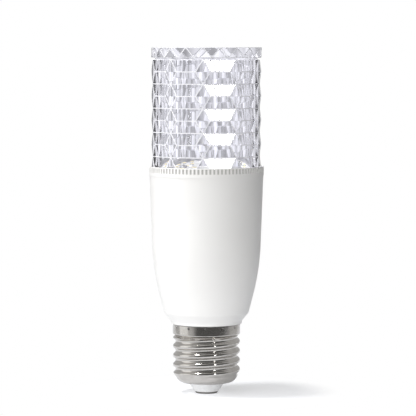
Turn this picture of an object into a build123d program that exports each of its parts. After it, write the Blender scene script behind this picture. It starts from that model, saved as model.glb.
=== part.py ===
from build123d import *
from math import cos, radians
import os

os.makedirs("parts", exist_ok=True)

# Decorative LED bulb, cap down, millimetres.
# The bulb stands on its centre contact at z = 0 and +Z runs up its axis.

# Clear faceted cover
cover_radius = 21.5
facet_columns = 10
facet_turn = 14.4
facet_split = 10.4
facet_rows = 9
row_height = 4.68
cover_wall = 1.85
bore_draft = 0.6
cover_roof = 4.3
facet_sink = 0.65
neck_height = 0.7
neck_inset = 0.55
crown_height = 4.0
cover_foot_height = 1.7
cover_spigot_length = 1.0

# White moulded casing
rim_radius = 22.3
rim_height = 3.6
rim_step = 0.15
rim_cover_gap = 0.1
casing_top_z = 88.8
casing_foot_z = 27.4
casing_wall = 1.6
shoulder_radius = 20.79
shoulder_z = 48.7
shoulder_blend = 80.0
neck_radius = 16.5
neck_z = 31.6
neck_blend = 2.2
foot_radius = 13.8
foot_collar_height = 1.0
notch_count = 92
notch_width = 0.76
notch_depth = 0.42
notch_height = 1.9
notch_lip = 0.35

# Spigot of the casing inside the screw shell
spigot_wall = 1.5
spigot_length = 14.5
spigot_clearance = 0.08

# Aluminium heat sink cup
cup_plate = 1.2
cup_wall = 0.8
cup_depth = 26.0
cup_clearance = 0.08
wire_hole_radius = 4.0

# Ribs of the casing that carry the cup and the driver board
cup_rib_count = 6
cup_rib_width = 1.2
cup_rib_reach = 1.2
cup_rib_height = 14.0
guide_rib = 1.2
guide_bite = 1.0
guide_floor = 4.0
guide_height = 22.0

# LED board, its LEDs, terminal and screws
board_clearance = 0.3
board_thickness = 1.6
outer_led_ring = 13.6
outer_led_count = 12
inner_led_ring = 7.4
inner_led_count = 6
led_length = 3.5
led_width = 2.8
led_height = 0.7
led_wall = 0.3
phosphor_depth = 0.35
terminal_length = 6.4
terminal_width = 4.2
terminal_height = 2.3
terminal_socket_depth = 1.4
screw_ring = 10.5
screw_turn = 30
screw_radius = 1.25
screw_head_radius = 2.1
screw_head_height = 1.3
screw_length = 5.0

# Driver board and what it carries
driver_thickness = 1.2
driver_half_width = 13.0
driver_height = 28.0
driver_tail_half_width = 7.5
driver_tail = 14.0
driver_lift = 2.4
driver_clearance = 0.1
capacitor_radius = 4.0
input_capacitor_length = 14.0
output_capacitor_length = 11.5
capacitor_x = 7.0
capacitor_drop = 1.0
component_lead_radius = 0.3
drum_drop = 2.0
drum_radius = 5.0
drum_height = 9.0
drum_flange = 1.2
drum_leg_radius = 2.2
coil_radius = 4.5
coil_clearance = 0.03
chip_length = 4.9
chip_width = 3.9
chip_height = 1.5
chip_leads = 4
chip_lift = 4.0
bridge_length = 6.2
bridge_width = 4.7
bridge_height = 2.5
bridge_leads = 2
lead_foot = 1.0
lead_thickness = 0.2
fuse_radius = 1.5
fuse_length = 6.5

# Wires
wire_radius = 0.6
wire_gap = 3.5
wire_bend = 2.5
wire_lap = 5.0

# Edison screw cap, size E27
thread_pitch = 3.629
thread_crest_radius = 13.1
thread_root_radius = 12.1
thread_start_z = 6.5
thread_end_z = 22.8
thread_phase_z = 9.4
thread_land = 0.11
shell_wall = 0.4
collar_radius = 13.15
collar_base_z = 23.4
collar_flare = 0.35
shell_edge_radius = 8.3
shell_edge_z = 4.2
shell_waist_z = 7.6
dimple_count = 12
dimple_turn = 28
dimple_z = 26.3
punch_radius = 0.6
punch_depth = 0.35
insulator_radius = 7.1
insulator_tip_radius = 4.6
insulator_tip_z = 0.7
insulator_top_z = 8.6
contact_radius = 4.4
eyelet_radius = 2.0
eyelet_wall = 0.35
pin_head_radius = 2.9
pin_head_height = 0.4
contact_recess = 0.12

# Sizes and heights that follow
half_angle = radians(180 / facet_columns)
low_flat = cover_radius * cos(half_angle)
trapezoid_flat = cover_radius * cos(radians(facet_split))
triangle_flat = cover_radius * cos(half_angle - radians(facet_split))
crown_flat = cover_radius * cos(half_angle / 2)
cover_bore_radius = low_flat - cover_wall
board_radius = cover_bore_radius - board_clearance
facet_base_z = casing_top_z - facet_sink
cover_seat_z = facet_base_z - cover_foot_height
plate_top_z = cover_seat_z - cover_spigot_length
facet_top_z = facet_base_z + facet_rows * row_height
cover_top_z = facet_top_z + neck_height + crown_height
led_seat_z = plate_top_z + board_thickness
mouth_radius = cover_radius + rim_cover_gap
bore_radius = rim_radius - rim_step - casing_wall
wall_slope = (bore_radius + casing_wall - shoulder_radius) / (casing_top_z - rim_height - shoulder_z)
cup_rest_z = plate_top_z - cup_depth
driver_floor_z = neck_z + driver_lift
driver_top_z = driver_floor_z + driver_height
driver_face = driver_thickness / 2
spigot_top_z = casing_foot_z
spigot_low_z = spigot_top_z - spigot_length
spigot_radius = collar_radius - shell_wall - spigot_clearance
spigot_low_radius = thread_root_radius - shell_wall - spigot_clearance
spigot_bore = spigot_low_radius - spigot_wall
spigot_step_z = collar_base_z + shell_wall / 2 + spigot_clearance
punch_ring = collar_radius + punch_radius - punch_depth


def facet_slab(low_apothem, high_apothem, turn, sides, height, mode=Mode.ADD):
    """Prism with sloping sides, apothem measured to its flats."""
    with BuildSketch(Plane.XY) as low_end:
        RegularPolygon(low_apothem, sides, major_radius=False, rotation=turn)
    with BuildSketch(Plane.XY.offset(height)) as high_end:
        RegularPolygon(high_apothem, sides, major_radius=False, rotation=turn)
    loft([low_end.sketch, high_end.sketch], ruled=True, mode=mode)


# One row of facets: a polygon of facet_columns corners grows into one of twice as many.
# Trapezoids lean out along the flats and narrow to facet_split each side of their middle.
# Triangles lean in from the corners between them.
flat_turn = 180 / facet_columns

with BuildPart() as facet_row:
    facet_slab(low_flat, trapezoid_flat, facet_turn, facet_columns, row_height)
    facet_slab(cover_radius, triangle_flat, facet_turn + flat_turn, facet_columns, row_height, Mode.INTERSECT)

# Crown: two polygons of twice as many corners, turned half a flat from each other
with BuildPart() as crown:
    facet_slab(crown_flat, cover_radius, facet_turn + flat_turn / 2, 2 * facet_columns, crown_height)
    facet_slab(cover_radius, crown_flat, facet_turn, 2 * facet_columns, crown_height, Mode.INTERSECT)

# The same row of facets upside down, from its wide level up to its waist
with BuildPart() as facet_row_down:
    mirror(facet_row.part, about=Plane.XY)

# Crystal cover: facet rows on a plain foot, a neck and the crown, with a drafted bore
with BuildPart() as crystal_cover:
    for row in range(facet_rows):
        row_z = facet_base_z + row * row_height
        if row % 2 == 0:
            with Locations((0, 0, row_z + row_height)):
                add(facet_row_down.part)
        else:
            with Locations((0, 0, row_z)):
                add(facet_row.part)
    with BuildSketch(Plane.XY.offset(facet_top_z)):
        Circle(low_flat - neck_inset)
    extrude(amount=neck_height)
    with Locations((0, 0, facet_top_z + neck_height)):
        add(crown.part)
    with BuildSketch(Plane.XY.offset(cover_seat_z)):
        Circle(cover_radius)
    extrude(amount=cover_foot_height)
    with BuildSketch(Plane.XY.offset(plate_top_z)):
        Circle(bore_radius - cup_clearance)
    extrude(amount=cover_spigot_length)
    with BuildSketch(Plane.XY.offset(plate_top_z)):
        Circle(cover_bore_radius)
    extrude(amount=cover_top_z - cover_roof - plate_top_z, taper=bore_draft, mode=Mode.SUBTRACT)
crystal_cover.part.label = "crystal_cover"
export_step(crystal_cover.part, "parts/crystal_cover.step")


def casing_bore(z):
    """Radius of the casing's drafted bore above its shoulder."""
    return bore_radius - wall_slope * (casing_top_z - rim_height - z)


# Hollow of the casing, less the ribs that stand in it
with BuildPart() as casing_hollow:
    with BuildSketch(Plane.XZ):
        with BuildLine():
            wall = FilletPolyline(
                (bore_radius, casing_top_z - rim_height),
                (shoulder_radius - casing_wall, shoulder_z),
                (neck_radius - casing_wall, neck_z),
                (spigot_bore, neck_z - neck_radius + casing_wall + spigot_bore),
                radius=(shoulder_blend, neck_blend),
            )
            Polyline(wall @ 1, (spigot_bore, spigot_low_z), (0, spigot_low_z), (0, cover_seat_z),
                     (bore_radius, cover_seat_z), wall @ 0)
        make_face()
    revolve(axis=Axis.Z)
    with PolarLocations(casing_bore(cup_rest_z) - cup_rib_reach, cup_rib_count, start_angle=90):
        with Locations((0, 0, cup_rest_z)):
            Box(rim_radius, cup_rib_width, cup_rib_height, align=(Align.MIN, Align.CENTER, Align.MAX),
                mode=Mode.SUBTRACT)
    guide_slot = driver_thickness + 2 * driver_clearance
    with PolarLocations(driver_half_width - guide_bite, 2):
        with Locations((0, 0, driver_floor_z - guide_floor)):
            Box(rim_radius, guide_slot + 2 * guide_rib, guide_floor + guide_height,
                align=(Align.MIN, Align.CENTER, Align.MIN), mode=Mode.SUBTRACT)
        with Locations((0, 0, driver_floor_z)):
            Box(guide_bite + driver_clearance, guide_slot, guide_height,
                align=(Align.MIN, Align.CENTER, Align.MIN))

# Casing: drafted wall, rounded shoulder and foot, notched rim, spigot for the screw shell
with BuildPart() as casing:
    with BuildSketch(Plane.XZ):
        with BuildLine():
            skin = FilletPolyline(
                (rim_radius - rim_step, casing_top_z - rim_height),
                (shoulder_radius, shoulder_z),
                (neck_radius, neck_z),
                (foot_radius, casing_foot_z + foot_collar_height),
                (foot_radius, casing_foot_z),
                radius=(shoulder_blend, neck_blend, foot_collar_height / 2),
            )
            Polyline(skin @ 1, (0, casing_foot_z), (0, casing_top_z - rim_height), skin @ 0)
        make_face()
    revolve(axis=Axis.Z)
    with BuildSketch(Plane.XY.offset(casing_top_z - rim_height)):
        Circle(rim_radius)
    extrude(amount=rim_height)
    with BuildSketch(Plane.XY.offset(spigot_step_z)):
        Circle(spigot_radius)
    extrude(amount=spigot_top_z - spigot_step_z)
    with BuildSketch(Plane.XY.offset(spigot_low_z)):
        Circle(spigot_low_radius)
    extrude(amount=spigot_length)
    add(casing_hollow.part, mode=Mode.SUBTRACT)
    with BuildSketch(Plane.XY.offset(cover_seat_z)):
        Circle(mouth_radius)
    extrude(amount=casing_top_z - cover_seat_z, mode=Mode.SUBTRACT)
    with BuildSketch(Plane.XY.offset(casing_top_z - notch_lip - notch_height)):
        with PolarLocations(rim_radius, notch_count):
            Rectangle(2 * notch_depth, notch_width)
    extrude(amount=notch_height, mode=Mode.SUBTRACT)
    with PolarLocations(punch_ring, dimple_count, start_angle=dimple_turn):
        with Locations((0, 0, dimple_z)):
            Sphere(punch_radius + shell_wall + spigot_clearance, mode=Mode.SUBTRACT)
casing.part.label = "casing"
export_step(casing.part, "parts/casing.step")

# Screw hole places shared by the cup and the LED board
screw_places = PolarLocations(screw_ring, 2, start_angle=screw_turn)

# Heat sink cup: a drawn aluminium cup pressed into the casing, its flat end up
with BuildPart() as heat_sink_cup:
    cup_top_radius = bore_radius - cup_clearance
    cup_low_radius = casing_bore(cup_rest_z) - cup_clearance
    with BuildSketch(Plane.XZ):
        with BuildLine():
            Polyline((0, plate_top_z), (cup_top_radius, plate_top_z),
                     (cup_top_radius, plate_top_z - cup_plate), (cup_low_radius, cup_rest_z),
                     (cup_low_radius - cup_wall, cup_rest_z),
                     (cup_top_radius - cup_wall, plate_top_z - cup_plate), (0, plate_top_z - cup_plate),
                     close=True)
        make_face()
    revolve(axis=Axis.Z)
    with BuildSketch(Plane.XY.offset(plate_top_z)):
        Circle(wire_hole_radius)
        with screw_places:
            Circle(screw_radius + cup_clearance)
    extrude(amount=-cup_plate, mode=Mode.SUBTRACT)
heat_sink_cup.part.label = "heat_sink_cup"
export_step(heat_sink_cup.part, "parts/heat_sink_cup.step")

# LED board: a round aluminium board with screw holes and two wire holes
with BuildPart() as led_board:
    with BuildSketch(Plane.XY.offset(plate_top_z)):
        Circle(board_radius)
        with screw_places:
            Circle(screw_radius + cup_clearance, mode=Mode.SUBTRACT)
        with GridLocations(wire_gap, 0, 2, 1):
            Circle(wire_radius + driver_clearance, mode=Mode.SUBTRACT)
    extrude(amount=board_thickness)
led_board.part.label = "led_board"
export_step(led_board.part, "parts/led_board.step")

# LED packages: white bodies with a sunken window, in two rings
led_rings = (
    (outer_led_ring, outer_led_count, 180 / outer_led_count),
    (inner_led_ring, inner_led_count, 0),
)
low = (Align.CENTER, Align.CENTER, Align.MIN)
high = (Align.CENTER, Align.CENTER, Align.MAX)
with BuildPart() as led_packages:
    for ring, count, turn in led_rings:
        with PolarLocations(ring, count, start_angle=turn):
            with Locations((0, 0, led_seat_z)):
                Box(led_width, led_length, led_height, align=low)
            with Locations((0, 0, led_seat_z + led_height)):
                Box(led_width - 2 * led_wall, led_length - 2 * led_wall, phosphor_depth, align=high,
                    mode=Mode.SUBTRACT)
led_packages.part.label = "led_packages"
export_step(led_packages.part, "parts/led_packages.step")

# Phosphor: the yellow filling of each window
with BuildPart() as led_phosphor:
    for ring, count, turn in led_rings:
        with PolarLocations(ring, count, start_angle=turn):
            with Locations((0, 0, led_seat_z + led_height)):
                Box(led_width - 2 * led_wall, led_length - 2 * led_wall, phosphor_depth, align=high)
led_phosphor.part.label = "led_phosphor"
export_step(led_phosphor.part, "parts/led_phosphor.step")

# Terminal block over the wire holes
with BuildPart() as board_terminal:
    with Locations((0, 0, led_seat_z)):
        Box(terminal_length, terminal_width, terminal_height, align=low)
    chamfer(board_terminal.edges().group_by(Axis.Z)[-1], terminal_height / 8)
    with BuildSketch(Plane.XY.offset(led_seat_z)):
        with GridLocations(wire_gap, 0, 2, 1):
            Circle(wire_radius + driver_clearance)
    extrude(amount=terminal_socket_depth, mode=Mode.SUBTRACT)
board_terminal.part.label = "board_terminal"
export_step(board_terminal.part, "parts/board_terminal.step")

# Board screws: pan heads with a cross recess
with BuildPart() as board_screws:
    with screw_places:
        with Locations((0, 0, led_seat_z)):
            Cylinder(screw_head_radius, screw_head_height, align=low)
            Cylinder(screw_radius, screw_length, align=high)
    fillet(board_screws.edges().filter_by(GeomType.CIRCLE).group_by(Axis.Z)[-1], screw_head_height / 2)
    with screw_places:
        with Locations((0, 0, led_seat_z + screw_head_height)):
            Box(screw_head_radius * 1.2, screw_head_radius / 4, screw_head_height / 2, align=high,
                mode=Mode.SUBTRACT)
            Box(screw_head_radius / 4, screw_head_radius * 1.2, screw_head_height / 2, align=high,
                mode=Mode.SUBTRACT)
board_screws.part.label = "board_screws"
export_step(board_screws.part, "parts/board_screws.step")

# Driver board: wide above, with a tail that reaches down into the spigot
with BuildPart() as driver_board:
    with BuildSketch(Plane.XZ):
        with BuildLine():
            Polyline((driver_half_width, driver_floor_z), (driver_half_width, driver_top_z),
                     (-driver_half_width, driver_top_z), (-driver_half_width, driver_floor_z),
                     (-driver_tail_half_width, driver_floor_z),
                     (-driver_tail_half_width, driver_floor_z - driver_tail),
                     (driver_tail_half_width, driver_floor_z - driver_tail),
                     (driver_tail_half_width, driver_floor_z), close=True)
        make_face()
    extrude(amount=driver_thickness / 2, both=True)
driver_board.part.label = "driver_board"
export_step(driver_board.part, "parts/driver_board.step")


def bent_rod(points, radius, bend):
    """Round wire along straight runs joined by tangent arcs."""
    with BuildLine() as route:
        FilletPolyline(*points, radius=bend)
    with BuildSketch(Plane(origin=route.line @ 0, z_dir=route.line % 0)) as section:
        Circle(radius)
    sweep(section.sketch, path=route.line)


def capacitor(x, low_z, length):
    """Electrolytic can lying along the board, its two leads bent into the board."""
    axis_y = -driver_face - capacitor_radius
    with Locations((x, axis_y, low_z)):
        Cylinder(capacitor_radius, length, align=low)
    for lead_x in (x - capacitor_radius / 3, x + capacitor_radius / 3):
        bent_rod([(lead_x, axis_y, low_z), (lead_x, axis_y, low_z - 5 * component_lead_radius),
                  (lead_x, -driver_face, low_z - 5 * component_lead_radius)],
                 component_lead_radius, 2 * component_lead_radius)


capacitor_base_z = driver_top_z - capacitor_drop - input_capacitor_length
with BuildPart() as input_capacitor:
    capacitor(-capacitor_x, capacitor_base_z, input_capacitor_length)
input_capacitor.part.label = "input_capacitor"
export_step(input_capacitor.part, "parts/input_capacitor.step")

with BuildPart() as output_capacitor:
    capacitor(capacitor_x, capacitor_base_z, output_capacitor_length)
output_capacitor.part.label = "output_capacitor"
export_step(output_capacitor.part, "parts/output_capacitor.step")

# Inductor: a ferrite drum on the other side of the board, with its winding
drum_plane = Plane(origin=(0, driver_face, driver_top_z - drum_drop - drum_radius), z_dir=(0, 1, 0))
with BuildPart() as inductor_core:
    with BuildSketch(drum_plane):
        Circle(drum_radius)
    extrude(amount=drum_height)
    with BuildSketch(drum_plane.offset(drum_flange)):
        Circle(drum_radius)
        Circle(drum_leg_radius, mode=Mode.SUBTRACT)
    extrude(amount=drum_height - 2 * drum_flange, mode=Mode.SUBTRACT)
inductor_core.part.label = "inductor_core"
export_step(inductor_core.part, "parts/inductor_core.step")

with BuildPart() as inductor_coil:
    with BuildSketch(drum_plane.offset(drum_flange + coil_clearance)):
        Circle(coil_radius)
        Circle(drum_leg_radius + coil_clearance, mode=Mode.SUBTRACT)
    extrude(amount=drum_height - 2 * drum_flange - 2 * coil_clearance)
inductor_coil.part.label = "inductor_coil"
export_step(inductor_coil.part, "parts/inductor_coil.step")


def surface_part(x, z, length, width, height, leads):
    """Moulded body on the board's far face, with flat leads that step down to it."""
    with Locations((x, driver_face, z)):
        with Locations((0, lead_thickness, 0)):
            Box(length, height, width, align=(Align.CENTER, Align.MIN, Align.CENTER))
        pitch = length / leads
        for side in (-1, 1):
            with Locations((0, 0, side * width / 2)):
                with GridLocations(pitch, 0, leads, 1):
                    with Locations((0, 0, side * lead_foot / 2)):
                        Box(pitch / 3, lead_thickness, lead_foot,
                            align=(Align.CENTER, Align.MIN, Align.CENTER))
                    Box(pitch / 3, height / 2, 2 * lead_thickness,
                        align=(Align.CENTER, Align.MIN, Align.CENTER))


chip_z = driver_floor_z + chip_lift
with BuildPart() as driver_chip:
    surface_part(-capacitor_x, chip_z, chip_length, chip_width, chip_height, chip_leads)
driver_chip.part.label = "driver_chip"
export_step(driver_chip.part, "parts/driver_chip.step")

with BuildPart() as bridge_rectifier:
    surface_part(capacitor_x, chip_z, bridge_length, bridge_width, bridge_height, bridge_leads)
bridge_rectifier.part.label = "bridge_rectifier"
export_step(bridge_rectifier.part, "parts/bridge_rectifier.step")

# Fusible resistor on the tail, in the live lead
fuse_x = -driver_tail_half_width / 2
fuse_y = -driver_face - fuse_radius
fuse_low_z = driver_floor_z - driver_tail / 2
fuse_high_z = fuse_low_z + fuse_length
with BuildPart() as fuse_resistor:
    with Locations((fuse_x, fuse_y, fuse_low_z)):
        Cylinder(fuse_radius, fuse_length, align=low)
    fillet(fuse_resistor.edges().filter_by(GeomType.CIRCLE), fuse_radius / 3)
    for end_z, step in ((fuse_low_z, -1), (fuse_high_z, 1)):
        turn_z = end_z + step * 4 * component_lead_radius
        bent_rod([(fuse_x, fuse_y, end_z - step * component_lead_radius), (fuse_x, fuse_y, turn_z),
                  (fuse_x, -driver_face, turn_z)], component_lead_radius, 2 * component_lead_radius)
fuse_resistor.part.label = "fuse_resistor"
export_step(fuse_resistor.part, "parts/fuse_resistor.step")

# Leads from the driver board up into the terminal block
lead_y = -driver_face - wire_radius
lead_low_z = driver_top_z - wire_lap
lead_top_z = led_seat_z + terminal_socket_depth
for name, side in (("lead_positive", 1), ("lead_negative", -1)):
    with BuildPart() as lead_wire:
        start_x = side * wire_gap / 2
        bent_rod([(start_x, lead_y, lead_low_z), (start_x, lead_y, driver_top_z + 2 * wire_bend),
                  (start_x, 0, driver_top_z + 5 * wire_bend), (start_x, 0, lead_top_z)],
                 wire_radius, 2 * wire_bend)
    lead_wire.part.label = name
    export_step(lead_wire.part, f"parts/{name}.step")

# Screw shell: rolled from thin sheet, thread ridge on a waisted wall, collar and flared lip
ridge_depth = thread_crest_radius - thread_root_radius
ridge_bite = shell_wall / 8
ridge_half = (thread_pitch - thread_land) / 2
with BuildPart() as thread_ridge:
    with BuildLine() as thread_line:
        Helix(thread_pitch, thread_end_z - thread_start_z + 2 * thread_pitch, thread_root_radius,
              center=(0, 0, thread_phase_z - 2 * thread_pitch))
    with BuildSketch(Plane(origin=thread_line.line @ 0, x_dir=(1, 0, 0), z_dir=(0, -1, 0))):
        with BuildLine():
            crest = ThreePointArc((ridge_depth / 2, -thread_pitch / 4), (ridge_depth, 0),
                                  (ridge_depth / 2, thread_pitch / 4))
            upper_root = TangentArc(crest @ 1, (-ridge_bite / 2, ridge_half), tangent=crest % 1)
            lower_root = TangentArc(crest @ 0, (-ridge_bite / 2, -ridge_half), tangent=-(crest % 0))
            Polyline(upper_root @ 1, (-ridge_bite, ridge_half), (-ridge_bite, -ridge_half), lower_root @ 1)
        make_face()
    sweep(path=thread_line.line, is_frenet=True)
    with BuildSketch(Plane.XZ):
        with BuildLine():
            Polyline((0, thread_start_z), (thread_root_radius, thread_start_z),
                     (thread_crest_radius + ridge_bite, thread_start_z + thread_pitch / 2),
                     (thread_crest_radius + ridge_bite, thread_end_z - thread_pitch / 4),
                     (thread_root_radius, thread_end_z), (0, thread_end_z), close=True)
        make_face()
    revolve(axis=Axis.Z, mode=Mode.INTERSECT)

# Inner side of the punch marks that pin the collar to the casing
with BuildPart() as punch_bumps:
    with PolarLocations(punch_ring, dimple_count, start_angle=dimple_turn):
        with Locations((0, 0, dimple_z)):
            Sphere(punch_radius + shell_wall)
    with BuildSketch(Plane.XY.offset(collar_base_z)):
        Circle(collar_radius - shell_wall / 2)
    extrude(amount=casing_foot_z - collar_base_z, mode=Mode.INTERSECT)

with BuildPart() as screw_shell:
    with BuildSketch(Plane.XZ):
        with BuildLine():
            outer = Polyline((thread_root_radius, shell_waist_z), (thread_root_radius, thread_end_z),
                             (collar_radius, collar_base_z),
                             (collar_radius, casing_foot_z - collar_flare),
                             (collar_radius + collar_flare, casing_foot_z))
            inner = Polyline((thread_root_radius - shell_wall, shell_waist_z),
                             (thread_root_radius - shell_wall, thread_end_z + shell_wall / 2),
                             (collar_radius - shell_wall, collar_base_z + shell_wall / 2),
                             (collar_radius - shell_wall, casing_foot_z - collar_flare),
                             (collar_radius + collar_flare - shell_wall, casing_foot_z))
            outer_curve = TangentArc(outer @ 0, (shell_edge_radius, shell_edge_z), tangent=(0, -1))
            inner_curve = TangentArc(inner @ 0, (shell_edge_radius, shell_edge_z + shell_wall),
                                     tangent=(0, -1))
            Line(outer @ 1, inner @ 1)
            Line(outer_curve @ 1, inner_curve @ 1)
        make_face()
    revolve(axis=Axis.Z)
    add(thread_ridge.part)
    add(punch_bumps.part)
    with PolarLocations(punch_ring, dimple_count, start_angle=dimple_turn):
        with Locations((0, 0, dimple_z)):
            Sphere(punch_radius, mode=Mode.SUBTRACT)
screw_shell.part.label = "screw_shell"
export_step(screw_shell.part, "parts/screw_shell.step")

# Insulator: a blunt cone below the shell, its top moulded into the curve of the shell's wall
eyelet_hole = eyelet_radius + spigot_clearance
seat_radius = shell_edge_radius - spigot_clearance
with BuildPart() as insulator:
    with BuildSketch(Plane.XZ):
        with BuildLine():
            cone = Polyline((eyelet_hole, insulator_tip_z), (insulator_tip_radius, insulator_tip_z),
                            (insulator_radius, shell_edge_z), (seat_radius, shell_edge_z),
                            (seat_radius, shell_edge_z + shell_wall + spigot_clearance))
            rim_point = (thread_root_radius - shell_wall - spigot_clearance, shell_waist_z)
            curve = TangentArc(rim_point, cone @ 1, tangent=(0, -1))
            Polyline(rim_point, (rim_point[0], insulator_top_z), (eyelet_hole, insulator_top_z), cone @ 0)
        make_face()
    revolve(axis=Axis.Z)
insulator.part.label = "insulator"
export_step(insulator.part, "parts/insulator.step")

# Contact eyelet: a dished disc with a short tube up through the insulator
pin_radius = eyelet_radius - eyelet_wall
pin_clearance = 0.03
with BuildPart() as contact_eyelet:
    with BuildSketch(Plane.XY):
        Circle(contact_radius)
    extrude(amount=insulator_tip_z)
    fillet(contact_eyelet.edges().group_by(Axis.Z)[0], insulator_tip_z / 2)
    with BuildSketch(Plane.XY.offset(insulator_tip_z)):
        Circle(eyelet_radius)
    extrude(amount=insulator_top_z - insulator_tip_z - 2 * pin_head_height)
    with BuildSketch(Plane.XY):
        Circle(pin_head_radius + pin_clearance)
    extrude(amount=contact_recess + pin_head_height, mode=Mode.SUBTRACT)
    with BuildSketch(Plane.XY):
        Circle(pin_radius + pin_clearance)
    extrude(amount=insulator_top_z, mode=Mode.SUBTRACT)
contact_eyelet.part.label = "contact_eyelet"
export_step(contact_eyelet.part, "parts/contact_eyelet.step")

# Contact pin: a flat-headed pin pressed up into the eyelet
with BuildPart() as contact_pin:
    with BuildSketch(Plane.XY.offset(contact_recess)):
        Circle(pin_head_radius)
    extrude(amount=pin_head_height)
    fillet(contact_pin.edges().group_by(Axis.Z)[0], pin_head_height / 2)
    with BuildSketch(Plane.XY.offset(contact_recess + pin_head_height)):
        Circle(pin_radius)
    extrude(amount=insulator_top_z - contact_recess - pin_head_height)
contact_pin.part.label = "contact_pin"
export_step(contact_pin.part, "parts/contact_pin.step")

# Live wire: from the tail's near face down the axis to the pin
tail_low_z = driver_floor_z - driver_tail
wire_x = driver_tail_half_width / 3
with BuildPart() as live_wire:
    bent_rod([(wire_x, lead_y, tail_low_z + wire_bend), (wire_x, lead_y, tail_low_z - wire_bend / 2),
              (0, 0, tail_low_z - 2 * wire_bend), (0, 0, insulator_top_z)], wire_radius, wire_bend / 2)
live_wire.part.label = "live_wire"
export_step(live_wire.part, "parts/live_wire.step")

# Neutral wire: from the tail's far face down, then out between spigot and insulator to the shell
neutral_z = (spigot_low_z + insulator_top_z) / 2
wall_reach = thread_root_radius - shell_wall - wire_radius / 2
with BuildPart() as neutral_wire:
    bent_rod([(-wire_x, -lead_y, tail_low_z + wire_bend), (-wire_x, -lead_y, neutral_z),
              (-wall_reach, -lead_y, neutral_z)], wire_radius, wire_bend)
neutral_wire.part.label = "neutral_wire"
export_step(neutral_wire.part, "parts/neutral_wire.step")
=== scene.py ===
import bpy
import bmesh
import math
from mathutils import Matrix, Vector


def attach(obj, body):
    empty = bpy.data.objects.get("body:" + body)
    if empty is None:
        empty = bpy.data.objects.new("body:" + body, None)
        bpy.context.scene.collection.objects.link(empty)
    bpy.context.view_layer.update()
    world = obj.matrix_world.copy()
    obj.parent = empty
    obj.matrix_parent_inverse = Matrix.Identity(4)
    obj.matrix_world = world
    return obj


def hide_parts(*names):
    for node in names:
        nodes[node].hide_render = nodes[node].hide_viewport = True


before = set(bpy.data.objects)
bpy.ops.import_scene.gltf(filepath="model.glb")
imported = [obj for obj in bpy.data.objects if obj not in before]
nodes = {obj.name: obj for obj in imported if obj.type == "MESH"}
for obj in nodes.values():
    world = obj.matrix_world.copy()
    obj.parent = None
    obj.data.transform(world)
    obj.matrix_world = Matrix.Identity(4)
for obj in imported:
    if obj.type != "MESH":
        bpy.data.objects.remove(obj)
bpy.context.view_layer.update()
print("stage: frame loaded,", len(nodes), "nodes")

near = 2e-6  # how close counts as the same place


# Small helpers

def clearSelection():
    bpy.ops.object.select_all(action="DESELECT")


def activate(piece):
    clearSelection()
    piece.select_set(True)
    bpy.context.view_layer.objects.active = piece


def editMode():
    bpy.ops.object.mode_set(mode="EDIT")


def objectMode():
    bpy.ops.object.mode_set(mode="OBJECT")


def pick(piece, kind, test):
    # selects the edges or faces of the piece in edit mode that pass the test
    bpy.ops.mesh.select_mode(type=kind)
    bpy.ops.mesh.select_all(action="DESELECT")
    mesh = bmesh.from_edit_mesh(piece.data)
    for item in mesh.edges if kind == "EDGE" else mesh.faces:
        if test(item):
            item.select_set(True)
    bmesh.update_edit_mesh(piece.data)


def atHeight(edge, height):
    return all(abs(vertex.co.z - height) < near for vertex in edge.verts)


def startRing(name, sides, radius, height, turn=0):
    # a ring of vertices, the first one at the turn counted from +X, left in edit mode
    clearSelection()
    bpy.ops.mesh.primitive_circle_add(vertices=sides, radius=radius, location=(0, 0, height),
                                      rotation=(0, 0, math.radians(turn - 90)))
    piece = bpy.context.object
    piece.name = piece.data.name = name
    bpy.ops.object.transform_apply(location=True, rotation=True, scale=False)
    editMode()
    bpy.ops.mesh.select_mode(type="VERT")
    bpy.ops.mesh.select_all(action="SELECT")
    return piece


def addRing(sides, radius, height, turn=0):
    # one more ring in the piece being edited, and only that one selected
    bpy.ops.mesh.select_mode(type="VERT")
    bpy.ops.mesh.select_all(action="DESELECT")
    bpy.ops.mesh.primitive_circle_add(vertices=sides, radius=radius, location=(0, 0, height),
                                      rotation=(0, 0, math.radians(turn - 90)))


def growRing(start, outline):
    # extrudes the selected ring from point to point, each a radius and a height
    radius, height = start
    for nextRadius, nextHeight in outline:
        bpy.ops.mesh.extrude_region_move(TRANSFORM_OT_translate={"value": (0, 0, nextHeight - height)})
        share = nextRadius / radius
        bpy.ops.transform.resize(value=(share, share, 1), center_override=(0, 0, nextHeight))
        radius, height = nextRadius, nextHeight


def mergeAndTurnOut():
    bpy.ops.mesh.select_all(action="SELECT")
    bpy.ops.mesh.remove_doubles(threshold=near / 2)
    bpy.ops.mesh.normals_make_consistent(inside=False)


def lathe(name, sides, outline):
    # a ring grown round a closed outline, left in edit mode
    piece = startRing(name, sides, *outline[0])
    growRing(outline[0], outline[1:] + outline[:1])
    mergeAndTurnOut()
    return piece


def roundRing(piece, radius, height, reach, steps):
    def onRing(edge):
        return atHeight(edge, height) and all(abs(v.co.xy.length - radius) < near for v in edge.verts)

    pick(piece, "EDGE", onRing)
    bpy.ops.mesh.bevel(offset=reach, segments=steps, profile=0.5, affect="EDGES")


def addBox(sizes, height, turn=0):
    objectMode()
    clearSelection()
    bpy.ops.mesh.primitive_cube_add(size=1, location=(0, 0, height), rotation=(0, 0, math.radians(turn)))
    box = bpy.context.object
    box.scale = sizes
    bpy.ops.object.transform_apply(location=True, rotation=True, scale=True)
    return box


def combine(piece, tool, operation):
    activate(piece)
    change = piece.modifiers.new("combine", "BOOLEAN")
    change.operation = operation
    change.solver = "EXACT"
    change.object = tool
    bpy.ops.object.modifier_apply(modifier=change.name)
    bpy.data.objects.remove(tool)


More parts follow.
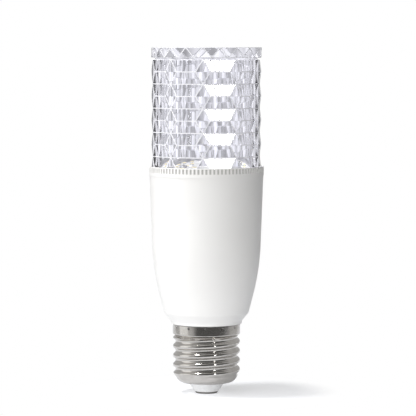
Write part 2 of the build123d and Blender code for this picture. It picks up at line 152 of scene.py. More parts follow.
def finishPiece(piece, node, smoothAngle):
    objectMode()
    activate(piece)
    bpy.ops.object.shade_smooth_by_angle(angle=math.radians(smoothAngle))
    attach(piece, "root")
    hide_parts(node)
    print("stage:", piece.name, "made,", len(piece.data.polygons), "faces")


def dress(piece, *materials):
    piece.data.materials.clear()
    for material in materials:
        piece.data.materials.append(material)


# Camera

camera = {
    "distance": 0.965,
    "height": 0.1345,
    "side": 0.0006,
    "tilt": 3.68,
    "lens": 214.6,
    "sensor": 36,
    "clip": 0.01,
}


def addCamera():
    clearSelection()
    bpy.ops.object.camera_add(location=(camera["side"], -camera["distance"], camera["height"]),
                              rotation=(math.radians(90 - camera["tilt"]), 0, 0))
    cameraObject = bpy.context.object
    cameraObject.data.lens = camera["lens"]
    cameraObject.data.sensor_width = camera["sensor"]
    cameraObject.data.clip_start = camera["clip"]
    bpy.context.scene.camera = cameraObject


addCamera()
print("stage: camera set")


# Light and floor

studio = {
    "aimHeight": 0.08,
    "fillFrom": (-0.47, -0.81, 0.34),
    "fillEdge": (0.45, 0.95),
    "fill": 1.88,
    "ambient": 0.11,
    "dimCentre": (0.342, -0.94, 0),
    "dimEdge": (0.3, 0.65),
    "sideReach": 0.7,
    "seenInMetal": {"front": 0.11, "left": 0.55, "right": 0.5},
    "seenInGlass": {"front": 0.72, "left": 0.95, "right": 0.78},
    "glassTint": (0.94, 0.94, 1.0, 1),
    "clutterScale": 6.0,
    "clutterDetail": 2.0,
    "clutterEdge": (0.36, 0.64),
    "clutterDim": 0.42,
    "clutterBright": 1.4,
    "floorFront": 0.075,
    "floorBack": 0.3,
    "floorSide": 0.17,
    "floorTone": (0.72, 0.73, 0.76, 1),
    "floorRoughness": 0.9,
    "floorShine": 0.1,
    "floorGlow": 0.44,
    "bounceGlow": 0.19,
    "shadowFrom": 0.034,
    "shadowTo": 0.054,
}
white = (1, 1, 1, 1)
lamps = {
    # azimuth from the camera's side, positive to the right; elevation; distance; width; height; watts
    "keyLamp": (-76, 69, 1.2, 0.2, 0.2, 8.0),
    "leftPanel": (-85, 15, 1.2, 0.9, 1.1, 2.2),
    "sparkLamp": (29.5, 17.0, 1.1, 0.1, 0.14, 0.85),
}


def addLamp(name, azimuth, elevation, distance, width, height, power):
    turn, lift = math.radians(azimuth), math.radians(elevation)
    place = Vector((math.sin(turn) * math.cos(lift), -math.cos(turn) * math.cos(lift), math.sin(lift)))
    centre = Vector((0, 0, studio["aimHeight"]))
    clearSelection()
    bpy.ops.object.light_add(type="AREA", location=centre + place * distance)
    lamp = bpy.context.object
    lamp.name = name
    lamp.data.shape = "RECTANGLE"
    lamp.data.size = width
    lamp.data.size_y = height
    lamp.data.energy = power
    lamp.rotation_euler = (-place).to_track_quat("-Z", "Y").to_euler()


def mixValue(tree, factor, first, second, kind="FLOAT"):
    # a Mix node of two numbers or, with kind RGBA, two colours; a socket can stand for either
    node = tree.nodes.new("ShaderNodeMix")
    node.data_type = kind
    tree.links.new(factor, node.inputs["Factor"])
    for socket, value in (("A", first), ("B", second)):
        if isinstance(value, (int, float, tuple)):
            node.inputs[socket].default_value = value
        else:
            tree.links.new(value, node.inputs[socket])
    return node.outputs["Result"]


def vectorMath(tree, operation, vector, other=None):
    node = tree.nodes.new("ShaderNodeVectorMath")
    node.operation = operation
    if other is not None:
        node.inputs[1].default_value = other
    tree.links.new(vector, node.inputs[0])
    return node.outputs["Value"]


def axes(tree, vector):
    split = tree.nodes.new("ShaderNodeSeparateXYZ")
    tree.links.new(vector, split.inputs[0])
    return split.outputs


def objectPlace(tree):
    return tree.nodes.new("ShaderNodeTexCoord").outputs["Object"]


def rangeValue(tree, value, edges, toMin, toMax, kind="SMOOTHSTEP"):
    # turns the value from between the two edges to between toMin and toMax
    node = tree.nodes.new("ShaderNodeMapRange")
    node.interpolation_type = kind
    for socket, number in zip(("From Min", "From Max", "To Min", "To Max"), (*edges, toMin, toMax)):
        node.inputs[socket].default_value = number
    tree.links.new(value, node.inputs["Value"])
    return node.outputs["Result"]


def makeWorld():
    # white to the eye; metal and glass see paler walls at the sides and a dim room behind the camera
    world = bpy.data.worlds.new("studio")
    bpy.context.scene.world = world
    world.use_nodes = True
    tree = world.node_tree
    place = tree.nodes.new("ShaderNodeTexCoord").outputs["Generated"]
    rays = tree.nodes.new("ShaderNodeLightPath").outputs
    toDim = vectorMath(tree, "DOT_PRODUCT", place, studio["dimCentre"])
    dim = rangeValue(tree, toDim, studio["dimEdge"], 0, 1)
    sideways = axes(tree, place)["X"]
    reach = studio["sideReach"]

    def wall(shades):
        sides = rangeValue(tree, sideways, (-reach, reach), shades["left"], shades["right"])
        return mixValue(tree, dim, sides, shades["front"])

    clutter = tree.nodes.new("ShaderNodeTexNoise")
    clutter.inputs["Scale"].default_value = studio["clutterScale"]
    clutter.inputs["Detail"].default_value = studio["clutterDetail"]
    tree.links.new(place, clutter.inputs["Vector"])
    patches = rangeValue(tree, clutter.outputs["Fac"], studio["clutterEdge"], studio["clutterDim"],
                         studio["clutterBright"])
    patchy = tree.nodes.new("ShaderNodeMath")
    patchy.operation = "MULTIPLY"
    tree.links.new(wall(studio["seenInGlass"]), patchy.inputs[0])
    tree.links.new(patches, patchy.inputs[1])
    seen = mixValue(tree, rays["Is Transmission Ray"], wall(studio["seenInMetal"]),
                    patchy.outputs["Value"])
    toFill = vectorMath(tree, "DOT_PRODUCT", place, studio["fillFrom"])
    fill = rangeValue(tree, toFill, studio["fillEdge"], studio["ambient"], studio["fill"])
    lit = mixValue(tree, rays["Is Diffuse Ray"], seen, fill)
    whole = mixValue(tree, rays["Is Camera Ray"], lit, 1.0)
    tint = mixValue(tree, rays["Is Transmission Ray"], white, studio["glassTint"], "RGBA")
    background = tree.nodes["Background"]
    tree.links.new(whole, background.inputs["Strength"])
    tree.links.new(tint, background.inputs["Color"])


def makeFloor():
    clearSelection()
    depth = studio["floorFront"] + studio["floorBack"]
    bpy.ops.mesh.primitive_plane_add(size=1, location=(0, depth / 2 - studio["floorFront"], 0))
    bpy.ops.transform.resize(value=(2 * studio["floorSide"], depth, 1))
    bpy.ops.object.transform_apply(location=True, rotation=False, scale=True)
    floor = bpy.context.object
    floor.name = "studioFloor"
    material, tree, shader = newMaterial("paleFloor")
    setShader(shader, Base_Color=studio["floorTone"], Roughness=studio["floorRoughness"],
              Specular_IOR_Level=studio["floorShine"], Emission_Color=white)
    reach = vectorMath(tree, "LENGTH", objectPlace(tree))
    fade = rangeValue(tree, reach, (studio["shadowFrom"], studio["shadowTo"]), 0, 1)
    toEye = tree.nodes.new("ShaderNodeLightPath").outputs["Is Camera Ray"]
    tree.links.new(mixValue(tree, toEye, studio["bounceGlow"], studio["floorGlow"]),
                   shader.inputs["Emission Strength"])
    mixShaders(tree, mixValue(tree, toEye, 0.0, fade), shader, tree.nodes.new("ShaderNodeEmission"))
    dress(floor, material)


# Finishes

def newMaterial(name):
    material = bpy.data.materials.new(name)
    material.use_nodes = True
    return material, material.node_tree, material.node_tree.nodes["Principled BSDF"]


def setShader(shader, **values):
    for socket, value in values.items():
        shader.inputs[socket.replace("_", " ")].default_value = value


def mixShaders(tree, factor, first, second):
    mix = tree.nodes.new("ShaderNodeMixShader")
    tree.links.new(factor, mix.inputs["Fac"])
    tree.links.new(first.outputs[0], mix.inputs[1])
    tree.links.new(second.outputs[0], mix.inputs[2])
    tree.links.new(mix.outputs[0], tree.nodes["Material Output"].inputs["Surface"])


def grain(tree, scale, detail=4.0, stretch=(1, 1, 1)):
    mapping = tree.nodes.new("ShaderNodeMapping")
    mapping.inputs["Scale"].default_value = stretch
    noise = tree.nodes.new("ShaderNodeTexNoise")
    noise.inputs["Scale"].default_value = scale
    noise.inputs["Detail"].default_value = detail
    tree.links.new(objectPlace(tree), mapping.inputs["Vector"])
    tree.links.new(mapping.outputs["Vector"], noise.inputs["Vector"])
    return noise.outputs["Fac"]


grainEdge = (0.3, 0.7)  # the values between which the grain's noise lies nearly everywhere


def varyTone(tree, shader, value, dark, light):
    ramp = tree.nodes.new("ShaderNodeValToRGB")
    for element, position, tone in zip(ramp.color_ramp.elements, grainEdge, (dark, light)):
        element.position = position
        element.color = (*tone, 1)
    tree.links.new(value, ramp.inputs["Fac"])
    tree.links.new(ramp.outputs["Color"], shader.inputs["Base Color"])
    return ramp.outputs["Color"]


def varyRoughness(tree, shader, value, low, high):
    tree.links.new(rangeValue(tree, value, grainEdge, low, high, "LINEAR"), shader.inputs["Roughness"])


def addBump(tree, shader, value, strength, depth):
    bump = tree.nodes.new("ShaderNodeBump")
    bump.inputs["Strength"].default_value = strength
    bump.inputs["Distance"].default_value = depth
    tree.links.new(value, bump.inputs["Height"])
    tree.links.new(bump.outputs["Normal"], shader.inputs["Normal"])


acrylic = {
    "bend": 1.49,
    "tone": (0.985, 0.985, 1.0, 1),
    "shadowTone": (0.8, 0.8, 0.83, 1),
    "roughness": (0.0, 0.02),
    # the edge values give painted highlight along the facet edges, which are mostly opaque and pale
    "edgeClear": 0.25,
    "edgeDark": (0.88, 0.88, 0.92),
    "edgeLight": (0.97, 0.97, 1.0),
    "edgeRoughness": (0.2, 0.4),
}


def clearAcrylic():
    # lamps shine through it without bending, so that what is inside is lit
    material, tree, shader = newMaterial("clearAcrylic")
    setShader(shader, Base_Color=acrylic["tone"], IOR=acrylic["bend"], Transmission_Weight=1.0)
    varyRoughness(tree, shader, grain(tree, scale=220), *acrylic["roughness"])
    addBump(tree, shader, grain(tree, scale=260, detail=2.0), strength=0.1, depth=0.00001)
    clear = tree.nodes.new("ShaderNodeBsdfTransparent")
    setShader(clear, Color=acrylic["shadowTone"])
    mixShaders(tree, tree.nodes.new("ShaderNodeLightPath").outputs["Is Shadow Ray"], shader, clear)
    return material


def softEdges():
    # the rounded edges of the facets: a little matt moulding, and painted highlight, as they are made
    # mostly opaque and pale so that they show as bright lines
    material, tree, shader = newMaterial("softEdges")
    setShader(shader, IOR=acrylic["bend"], Transmission_Weight=acrylic["edgeClear"])
    varyTone(tree, shader, grain(tree, scale=700), acrylic["edgeDark"], acrylic["edgeLight"])
    varyRoughness(tree, shader, grain(tree, scale=400), *acrylic["edgeRoughness"])
    return material


satin = {
    "dark": (0.87, 0.863, 0.846),
    "light": (0.885, 0.878, 0.862),
    "roughness": (0.34, 0.44),
    # the notch tones are painted shade, a darker grey for the notch floors
    "notchDark": (0.5, 0.494, 0.476),
    "notchLight": (0.55, 0.543, 0.525),
    "notchRoughness": (0.5, 0.6),
}


def satinWhite():
    material, tree, shader = newMaterial("satinWhite")
    varyTone(tree, shader, grain(tree, scale=90), satin["dark"], satin["light"])
    varyRoughness(tree, shader, grain(tree, scale=500), *satin["roughness"])
    addBump(tree, shader, grain(tree, scale=5200, detail=2.0), strength=0.25, depth=0.00002)
    return material


def notchShade():
    # painted shade: the floors of the notches get a darker grey than the casing, standing in for the
    # shade in them
    material, tree, shader = newMaterial("notchShade")
    varyTone(tree, shader, grain(tree, scale=90), satin["notchDark"], satin["notchLight"])
    varyRoughness(tree, shader, grain(tree, scale=500), *satin["notchRoughness"])
    return material


plating = {
    # each edge is a pair of heights on the shell, and markDepth a pair of radii inside a punch mark; the
    # seam and the punch marks get painted shade
    "dark": (0.54, 0.52, 0.49),
    "light": (0.61, 0.59, 0.56),
    "threadRoughness": (0.08, 0.15),
    "collarRoughness": (0.12, 0.2),
    "collarEdge": (0.0229, 0.0234),
    "seamShadeEdge": (0.02705, 0.0272),
    "markShadeEdge": (0.0255, 0.0256),
    "markDepth": (0.01284, 0.01306),
    "markShade": 0.7,
    "shadeTone": (0.05, 0.05, 0.05, 1),
}


def nickelPlate():
    # duller on the plain collar; painted shade, near black, in the seam under the casing and in the
    # punch marks
    material, tree, shader = newMaterial("nickelPlate")
    setShader(shader, Metallic=1.0)
    speck = grain(tree, scale=400, detail=3.0)
    tone = varyTone(tree, shader, speck, plating["dark"], plating["light"])
    place = axes(tree, objectPlace(tree))
    rolled = grain(tree, scale=900, stretch=(1, 1, 9))
    thread = rangeValue(tree, rolled, grainEdge, *plating["threadRoughness"], "LINEAR")
    dull = rangeValue(tree, rolled, grainEdge, *plating["collarRoughness"], "LINEAR")
    collar = rangeValue(tree, place["Z"], plating["collarEdge"], 0.0, 1.0)
    tree.links.new(mixValue(tree, collar, thread, dull), shader.inputs["Roughness"])
    addBump(tree, shader, rolled, strength=0.15, depth=0.00001)
    flat = tree.nodes.new("ShaderNodeCombineXYZ")
    for axis in ("X", "Y"):
        tree.links.new(place[axis], flat.inputs[axis])
    radius = vectorMath(tree, "LENGTH", flat.outputs["Vector"])
    # painted shade in the punch marks, fading in between the two radii
    markShadeFade = rangeValue(tree, radius, plating["markDepth"], plating["markShade"], 0.0)
    mark = mixValue(tree, rangeValue(tree, place["Z"], plating["markShadeEdge"], 0.0, 1.0), 0.0, markShadeFade)
    # painted shade in the seam under the casing, added to the punch marks' painted shade
    shade = mixValue(tree, rangeValue(tree, place["Z"], plating["seamShadeEdge"], 0.0, 1.0), mark, 1.0)
    shaded = mixValue(tree, shade, tone, plating["shadeTone"], "RGBA")
    tree.links.new(shaded, shader.inputs["Base Color"])
    return material


def mouldedWhite(name, tone, roughness, darkShare=0.97, spread=0.05):
    material, tree, shader = newMaterial(name)
    varyTone(tree, shader, grain(tree, scale=600), tuple(darkShare * part for part in tone), tone)
    varyRoughness(tree, shader, grain(tree, scale=1500), roughness - spread, roughness + spread)
    addBump(tree, shader, grain(tree, scale=6000, detail=2.0), strength=0.2, depth=0.00001)
    return material


def roughFinish(name, dark, light, roughness, metallic=0.0, scale=800, depth=0.00001,
                stretch=(1, 1, 1)):
    material, tree, shader = newMaterial(name)
    setShader(shader, Metallic=metallic)
    speck = grain(tree, scale, detail=5.0, stretch=stretch)
    varyTone(tree, shader, speck, dark, light)
    varyRoughness(tree, shader, speck, *roughness)
    addBump(tree, shader, speck, strength=0.3, depth=depth)
    return material


makeWorld()
makeFloor()
for name, setting in lamps.items():
    addLamp(name, *setting)
bpy.context.scene.view_settings.view_transform = "Standard"
print("stage: floor and light set")


# Crystal cover: rows of facets, a round foot, a groove below the crown, and the bore

cover = {
    # edges that bend more than facetBend degrees are rounded, faces within facetFlat degrees are joined
    "radius": 0.0215,
    "columns": 10,
    "turn": 14.4,
    "split": 10.4,
    "rows": 9,
    "rowHeight": 0.00468,
    "facetBase": 0.08815,
    "facetEdge": 0.0002,
    "facetEdgeSteps": 2,
    "facetBend": 8,
    "facetFlat": 1,
    "footRadius": 0.02153,
    "footBase": 0.08645,
    "spigotRadius": 0.02047,
    "spigotBase": 0.08545,
    "boreRadius": 0.0186,
    "boreTopRadius": 0.01813,
    "boreTop": 0.13067,
    "grooveRadius": 0.0199,
    "grooveHeight": 0.0007,
    "crownHeight": 0.004,
    "sides": 120,
    "smoothAngle": 3.5,
}
capSlope = 0.9  # a face whose normal goes further than this along the axis is a cap


def makeFacetRow():
    # a decagon below, its corners split in two above
    row = startRing("facetRow", cover["columns"], cover["radius"], 0, cover["turn"])
    middle = cover["turn"] + 180 / cover["columns"]
    for side in (-1, 1):
        addRing(cover["columns"], cover["radius"], cover["rowHeight"], middle + side * cover["split"])
    hullWithoutCaps(row, lambda face: abs(face.normal.z) > capSlope)
    return row


def hullWithoutCaps(piece, isCap):
    bpy.ops.mesh.select_all(action="SELECT")
    bpy.ops.mesh.convex_hull(join_triangles=False)
    bpy.ops.mesh.select_all(action="SELECT")
    bpy.ops.mesh.dissolve_limited(angle_limit=math.radians(cover["facetFlat"]))
    pick(piece, "FACE", isCap)
    bpy.ops.mesh.delete(type="ONLY_FACE")
    objectMode()


def copyRow(row, index):
    # every other row, the lowest one too, stands on its head
    activate(row)
    bpy.ops.object.duplicate()
    copy = bpy.context.object
    low = cover["facetBase"] + index * cover["rowHeight"]
    if index % 2 == 0:
        copy.scale.z = -1
        copy.location.z = low + cover["rowHeight"]
    else:
        copy.location.z = low
    bpy.ops.object.transform_apply(location=True, rotation=False, scale=True)
    return copy


def roundFacetEdges(piece):
    def isEdge(edge):
        return (edge.calc_face_angle() > math.radians(cover["facetBend"])
                and all(vertex.co.xy.length > cover["spigotRadius"] for vertex in edge.verts)
                and max(vertex.co.z for vertex in edge.verts) > cover["facetBase"] + near)

    pick(piece, "EDGE", isEdge)
    bpy.ops.mesh.bevel(offset=cover["facetEdge"], segments=cover["facetEdgeSteps"], profile=0.5,
                       affect="EDGES", material=1)


def joinLedge(piece, height):
    # a flat ledge between the two open rims at one height
    pick(piece, "EDGE", lambda edge: len(edge.link_faces) < 2 and atHeight(edge, height))
    bpy.ops.mesh.fill(use_beauty=False)


def makeCover():
    row = makeFacetRow()
    rows = [copyRow(row, index) for index in range(cover["rows"])]
    bpy.data.objects.remove(row)
    activate(rows[0])
    for other in rows[1:]:
        other.select_set(True)
    bpy.ops.object.join()
    piece = rows[0]
    piece.name = piece.data.name = "crystalCover"

    facetTop = cover["facetBase"] + cover["rows"] * cover["rowHeight"]
    crownBase = facetTop + cover["grooveHeight"]
    half = 180 / (2 * cover["columns"])
    crown = startRing("crown", 2 * cover["columns"], cover["radius"], crownBase, cover["turn"] + half)
    addRing(2 * cover["columns"], cover["radius"], crownBase + cover["crownHeight"], cover["turn"])
    hullWithoutCaps(crown, lambda face: face.normal.z < -capSlope)
    activate(piece)
    crown.select_set(True)
    bpy.ops.object.join()

    dress(piece, clearAcrylic(), softEdges())
    editMode()
    mergeAndTurnOut()
    addRing(cover["sides"], cover["grooveRadius"], facetTop)
    growRing((cover["grooveRadius"], facetTop), [(cover["grooveRadius"], crownBase)])
    joinLedge(piece, facetTop)
    joinLedge(piece, crownBase)
    addRing(cover["sides"], cover["footRadius"], cover["facetBase"])
    growRing((cover["footRadius"], cover["facetBase"]), [
        (cover["footRadius"], cover["footBase"]),
        (cover["spigotRadius"], cover["footBase"]),
        (cover["spigotRadius"], cover["spigotBase"]),
        (cover["boreRadius"], cover["spigotBase"]),
        (cover["boreTopRadius"], cover["boreTop"]),
    ])
    bpy.ops.mesh.edge_face_add()
    joinLedge(piece, cover["facetBase"])
    mergeAndTurnOut()
    roundFacetEdges(piece)
    mergeAndTurnOut()
    finishPiece(piece, "crystal_cover", cover["smoothAngle"])


makeCover()


# Casing: turned outline with a rounded shoulder, notches round the rim, and ribs inside

casing = {
    # a round is the reach and the steps of a rounded edge
    "sides": 368,
    "spigotLowRadius": 0.01162,
    "spigotRadius": 0.01267,
    "spigotLow": 0.0129,
    "spigotStep": 0.02368,
    "foot": 0.0274,
    "footRadius": 0.0138,
    "footRound": (0.0001, 2),
    "collarTop": 0.0284,
    "collarRound": (0.00018, 3),
    "neckRadius": 0.0165,
    "neck": 0.0316,
    "neckRound": (0.0005, 5),
    "shoulderRadius": 0.02079,
    "shoulder": 0.0487,
    "shoulderRound": (0.00837, 20),
    "innerRound": (0.0082, 12),
    "wallTopRadius": 0.02215,
    "rimLow": 0.0852,
    "rimRadius": 0.0223,
    "notchLow": 0.08655,
    "notchHigh": 0.08845,
    "rimTop": 0.0888,
    "rimRound": (0.00012, 3),
    "mouthRadius": 0.0216,
    "mouthRound": (0.0001, 2),
    "seat": 0.08645,
    "wall": 0.0016,
    "spigotBore": 0.01012,
    "notches": 92,
    "notchShare": 0.5,
    "notchDepth": 0.00042,
    "cupRibs": 6,
    "cupRibWidth": 0.0012,
    "cupRibInset": 0.0001,
    "cupRibRadius": 0.01839,
    "cupRibLow": 0.04545,
    "cupRibTop": 0.05945,
    "guideWidth": 0.0038,
    "guideInset": 0.0004,
    "guideRadius": 0.012,
    "guideLow": 0.03,
    "guideTop": 0.056,
    "slotWidth": 0.0014,
    "slotRadius": 0.0131,
    "slotLow": 0.034,
    "smoothAngle": 22,
}


def isNotch(face):
    centre = face.calc_center_median()
    place = math.atan2(centre.y, centre.x) * casing["notches"] / math.tau
    return (abs(place - round(place)) < casing["notchShare"] / 2
            and centre.xy.length > casing["rimRadius"] - casing["notchDepth"]
            and casing["notchLow"] < centre.z < casing["notchHigh"])


def makeRibs(ring, bars):
    # the parts of a ring that lie in the bars across it
    for bar in bars[1:]:
        combine(bars[0], bar, "UNION")
    combine(ring, bars[0], "INTERSECT")
    return ring


def addRibs(piece):
    # ribs that carry the cup, and two slotted guides for the driver board; all end inside the wall
    span = 3 * casing["rimRadius"]  # goes past the casing on every side
    neckWall = casing["neckRadius"] - casing["wall"] / 2
    shoulderWall = casing["shoulderRadius"] - casing["wall"] / 2
    ring = lathe("cupRibs", casing["sides"] // 4, [
        (casing["cupRibRadius"], casing["cupRibLow"]),
        (shoulderWall - casing["cupRibInset"], casing["cupRibLow"]),
        (shoulderWall - casing["cupRibInset"], casing["cupRibTop"]),
        (casing["cupRibRadius"], casing["cupRibTop"]),
    ])
    bars = []
    for index in range(casing["cupRibs"] // 2):
        turn = 90 + 360 / casing["cupRibs"] * index
        bars.append(addBox((span, casing["cupRibWidth"], span), casing["cupRibLow"], turn))
    cupRibs = makeRibs(ring, bars)
    ring = lathe("guideRibs", casing["sides"] // 4, [
        (casing["guideRadius"], casing["guideLow"]),
        (neckWall - casing["neck"] + casing["guideLow"], casing["guideLow"]),
        (neckWall, casing["neck"]),
        (shoulderWall - casing["guideInset"], casing["shoulder"]),
        (shoulderWall, casing["guideTop"]),
        (casing["guideRadius"], casing["guideTop"]),
    ])
    guides = makeRibs(ring, [addBox((span, casing["guideWidth"], span), casing["guideLow"])])
    height = casing["guideTop"] - casing["slotLow"] + near
    sizes = (2 * casing["slotRadius"], casing["slotWidth"], height)
    combine(guides, addBox(sizes, casing["slotLow"] + height / 2), "DIFFERENCE")
    combine(piece, cupRibs, "UNION")
    combine(piece, guides, "UNION")


def makeCasing():
    wall = casing["wall"]
    boreLow = casing["neck"] - casing["neckRadius"] + wall + casing["spigotBore"]
    piece = lathe("casingShell", casing["sides"], [
        (casing["spigotLowRadius"], casing["spigotLow"]),
        (casing["spigotLowRadius"], casing["spigotStep"]),
        (casing["spigotRadius"], casing["spigotStep"]),
        (casing["spigotRadius"], casing["foot"]),
        (casing["footRadius"], casing["foot"]),
        (casing["footRadius"], casing["collarTop"]),
        (casing["neckRadius"], casing["neck"]),
        (casing["shoulderRadius"], casing["shoulder"]),
        (casing["wallTopRadius"], casing["rimLow"]),
        (casing["rimRadius"], casing["rimLow"]),
        (casing["rimRadius"], casing["notchLow"]),
        (casing["rimRadius"], casing["notchHigh"]),
        (casing["rimRadius"], casing["rimTop"]),
        (casing["mouthRadius"], casing["rimTop"]),
        (casing["mouthRadius"], casing["seat"]),
        (casing["wallTopRadius"] - wall, casing["seat"]),
        (casing["wallTopRadius"] - wall, casing["rimLow"]),
        (casing["shoulderRadius"] - wall, casing["shoulder"]),
        (casing["neckRadius"] - wall, casing["neck"]),
        (casing["spigotBore"], boreLow),
        (casing["spigotBore"], casing["spigotLow"]),
    ])
    roundRing(piece, casing["shoulderRadius"], casing["shoulder"], *casing["shoulderRound"])
    roundRing(piece, casing["neckRadius"], casing["neck"], *casing["neckRound"])
    roundRing(piece, casing["footRadius"], casing["collarTop"], *casing["collarRound"])
    roundRing(piece, casing["footRadius"], casing["foot"], *casing["footRound"])
    roundRing(piece, casing["rimRadius"], casing["rimTop"], *casing["rimRound"])
    roundRing(piece, casing["mouthRadius"], casing["rimTop"], *casing["mouthRound"])
    roundRing(piece, casing["shoulderRadius"] - wall, casing["shoulder"], *casing["innerRound"])
    pick(piece, "FACE", isNotch)
    bpy.ops.mesh.extrude_region_move(TRANSFORM_OT_translate={"value": (0, 0, 0)})
    share = 1 - casing["notchDepth"] / casing["rimRadius"]
    bpy.ops.transform.resize(value=(share, share, 1), center_override=(0, 0, casing["notchLow"]))
    # the notch floors take the second finish, with its painted shade
    dress(piece, satinWhite(), notchShade())
    piece.active_material_index = 1
    bpy.ops.object.material_slot_assign()
    objectMode()
    addRibs(piece)
    finishPiece(piece, "casing", casing["smoothAngle"])


makeCasing()


# Screw shell: rolled thread on a waisted tube, plain collar with punch marks, flared lip

shell = {
    "sides": 180,
    "root": 0.0121,
    "wall": 0.0004,
    "waist": 0.0076,
    "curve": 0.003421,
    "curveEnd": 96.36,
    "curveSteps": 18,
    "rowStep": 0.0002,
    "threadStart": 0.0065,
    "threadEnd": 0.0228,
    "pitch": 0.003629,
    "depth": 0.001,
    "crest": 0.0094,
    "collarLow": 0.0234,
    "collarRadius": 0.01315,
    "collarRound": (0.0002, 4),
    "flareLow": 0.02705,
    "flareTop": 0.0274,
    "flareRadius": 0.0135,
    "marks": 12,
    "markTurn": 28,
    "markHeight": 0.0263,
    "markRadius": 0.0006,
    "markDepth": 0.00035,
    "markSides": 24,
    "markRings": 16,
    "smoothAngle": 32,
}


def threadHeight(place):
    # two equal arcs, round the crest and round the root; place is counted along the axis from a crest
    half = shell["pitch"] / 2
    arc = (shell["depth"] ** 2 + half ** 2) / (4 * shell["depth"])
    if place < half / 2:
        return shell["depth"] - arc + math.sqrt(arc ** 2 - place ** 2)
    return arc - math.sqrt(arc ** 2 - (half - place) ** 2)


def rollThread(piece):
    # moves out the vertices of the outer wall
    pitch = shell["pitch"]
    outer = shell["root"] - shell["wall"] / 2
    for vertex in piece.data.vertices:
        x, y, z = vertex.co
        radius = math.hypot(x, y)
        if not shell["threadStart"] < z < shell["threadEnd"] or radius < outer:
            continue
        turns = (z - shell["crest"]) / pitch - math.atan2(y, x) / math.tau
        lift = threadHeight(abs(turns - round(turns)) * pitch)
        runIn = (z - shell["threadStart"]) / (pitch / 2)
        runOut = (shell["threadEnd"] - z) / (pitch / 4)
        lift = min(lift, shell["depth"] * runIn, shell["depth"] * runOut)
        vertex.co.x += x / radius * lift
        vertex.co.y += y / radius * lift


def punchMarks(piece):
    # balls that reach into the collar by the depth of a mark, taken away from it
    clearSelection()
    ring = shell["collarRadius"] + shell["markRadius"] - shell["markDepth"]
    balls = []
    for index in range(shell["marks"]):
        turn = math.radians(shell["markTurn"] + 360 / shell["marks"] * index)
        place = (ring * math.cos(turn), ring * math.sin(turn), shell["markHeight"])
        bpy.ops.mesh.primitive_uv_sphere_add(segments=shell["markSides"], ring_count=shell["markRings"],
                                             radius=shell["markRadius"], location=place)
        balls.append(bpy.context.object)
    activate(balls[0])
    for ball in balls:
        ball.select_set(True)
    bpy.ops.object.join()
    combine(piece, balls[0], "DIFFERENCE")


def makeShell():
    wall = shell["wall"]

    def curve(inset):
        # the wall curls in below the waist, and ends at its lower edge
        centre = shell["root"] - shell["curve"]
        sweep = [math.radians(shell["curveEnd"] * step / shell["curveSteps"])
                 for step in range(shell["curveSteps"] + 1)]
        return [(centre + (shell["curve"] - inset) * math.cos(turn),
                 shell["waist"] - (shell["curve"] - inset) * math.sin(turn)) for turn in sweep]

    length = shell["threadEnd"] - shell["waist"]
    rows = int(length / shell["rowStep"])
    wallRows = [(shell["root"], shell["waist"] + length * step / rows) for step in range(1, rows + 1)]
    outline = curve(0)[::-1] + wallRows + [
        (shell["collarRadius"], shell["collarLow"]),
        (shell["collarRadius"], shell["collarLow"] + wall),
        (shell["collarRadius"], shell["flareLow"]),
        (shell["flareRadius"], shell["flareTop"]),
        (shell["flareRadius"] - wall, shell["flareTop"]),
        (shell["collarRadius"] - wall, shell["flareLow"]),
        (shell["collarRadius"] - wall, shell["collarLow"] + wall / 2),
        (shell["root"] - wall, shell["threadEnd"] + wall / 2),
    ] + curve(wall)
    piece = lathe("screwShell", shell["sides"], outline)
    roundRing(piece, shell["collarRadius"], shell["collarLow"], *shell["collarRound"])
    objectMode()
    rollThread(piece)
    punchMarks(piece)
    dress(piece, nickelPlate())
    finishPiece(piece, "screw_shell", shell["smoothAngle"])


makeShell()


# Insulator: blunt cone below the shell

insulator = {
    "sides": 120,
    "hole": 0.00208,
    "tipRadius": 0.0046,
    "tip": 0.0007,
    "tipRound": (0.0003, 4),
    "baseRadius": 0.0071,
    "base": 0.0042,
    "baseRound": (0.0002, 3),
    "seatRadius": 0.00822,
    "seatTop": 0.00468,
    "rimRadius": 0.01162,
    "rim": 0.0076,
    "top": 0.0086,
    "curveSteps": 8,
    "smoothAngle": 25,
}


def makeInsulator():
    reachOut = insulator["rimRadius"] - insulator["seatRadius"]
    reachUp = insulator["rim"] - insulator["seatTop"]
    curve = []
    for step in range(insulator["curveSteps"] + 1):
        turn = math.pi / 2 * step / insulator["curveSteps"]
        curve.append((insulator["seatRadius"] + reachOut * math.sin(turn),
                      insulator["rim"] - reachUp * math.cos(turn)))
    piece = lathe("tipInsulator", insulator["sides"], [
        (insulator["hole"], insulator["tip"]),
        (insulator["tipRadius"], insulator["tip"]),
        (insulator["baseRadius"], insulator["base"]),
        (insulator["seatRadius"], insulator["base"]),
        *curve,
        (insulator["rimRadius"], insulator["top"]),
        (insulator["hole"], insulator["top"]),
    ])
    roundRing(piece, insulator["tipRadius"], insulator["tip"], *insulator["tipRound"])
    roundRing(piece, insulator["baseRadius"], insulator["base"], *insulator["baseRound"])
    dress(piece, mouldedWhite("whiteInsulator", (0.95, 0.95, 0.94), 0.4))
    finishPiece(piece, "insulator", insulator["smoothAngle"])


makeInsulator()


# Finishes of the solids that show as they are

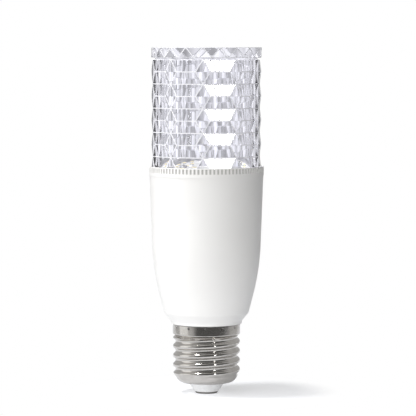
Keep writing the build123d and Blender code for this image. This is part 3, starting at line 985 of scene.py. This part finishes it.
blackEpoxy = roughFinish("blackEpoxy", (0.02, 0.02, 0.02), (0.05, 0.05, 0.05), (0.35, 0.5))
# painted shade: the contact's nickel is made a dark grey so that it shows as a dark line at the foot
nickelContact = roughFinish("nickelContact", (0.22, 0.215, 0.2), (0.32, 0.31, 0.29), (0.22, 0.38),
                            metallic=1.0, scale=1500)
redSleeve = roughFinish("redSleeve", (0.5, 0.03, 0.02), (0.62, 0.06, 0.05), (0.4, 0.55))
blackSleeve = roughFinish("blackSleeve", (0.02, 0.02, 0.02), (0.045, 0.045, 0.045), (0.4, 0.55))
darkSleeve = roughFinish("darkSleeve", (0.03, 0.03, 0.045), (0.06, 0.06, 0.08), (0.25, 0.35))
looks = {
    "heat_sink_cup": roughFinish("drawnAluminium", (0.66, 0.66, 0.68), (0.78, 0.78, 0.8), (0.25, 0.42),
                                 metallic=1.0, scale=500, stretch=(1, 1, 0.15)),
    "led_board": roughFinish("whiteMask", (0.84, 0.84, 0.82), (0.89, 0.89, 0.87), (0.28, 0.4)),
    "led_packages": roughFinish("ledBody", (0.86, 0.86, 0.83), (0.92, 0.92, 0.89), (0.35, 0.45)),
    "led_phosphor": roughFinish("phosphor", (0.92, 0.77, 0.36), (0.97, 0.87, 0.5), (0.4, 0.6),
                                scale=3000),
    "board_terminal": mouldedWhite("terminalWhite", (0.9, 0.9, 0.88), 0.35),
    "board_screws": roughFinish("platedSteel", (0.6, 0.6, 0.6), (0.72, 0.72, 0.72), (0.2, 0.32),
                                metallic=1.0, scale=1500),
    "driver_board": roughFinish("greenBoard", (0.05, 0.24, 0.1), (0.09, 0.32, 0.15), (0.3, 0.4),
                                scale=1200, stretch=(1, 1, 6)),
    "input_capacitor": darkSleeve,
    "output_capacitor": darkSleeve,
    "inductor_core": roughFinish("ferrite", (0.07, 0.07, 0.07), (0.13, 0.13, 0.13), (0.45, 0.65)),
    "inductor_coil": roughFinish("enamelledCopper", (0.6, 0.27, 0.1), (0.75, 0.4, 0.18), (0.25, 0.4),
                                 metallic=1.0, scale=700, depth=0.00003, stretch=(1, 12, 1)),
    "driver_chip": blackEpoxy,
    "bridge_rectifier": blackEpoxy,
    "fuse_resistor": roughFinish("resistorCoat", (0.25, 0.37, 0.3), (0.33, 0.45, 0.38), (0.35, 0.5)),
    "lead_positive": redSleeve,
    "live_wire": redSleeve,
    "lead_negative": blackSleeve,
    "neutral_wire": blackSleeve,
    "contact_eyelet": nickelContact,
    "contact_pin": nickelContact,
}
for node, material in looks.items():
    dress(nodes[node], material)
print("stage: inner parts dressed")
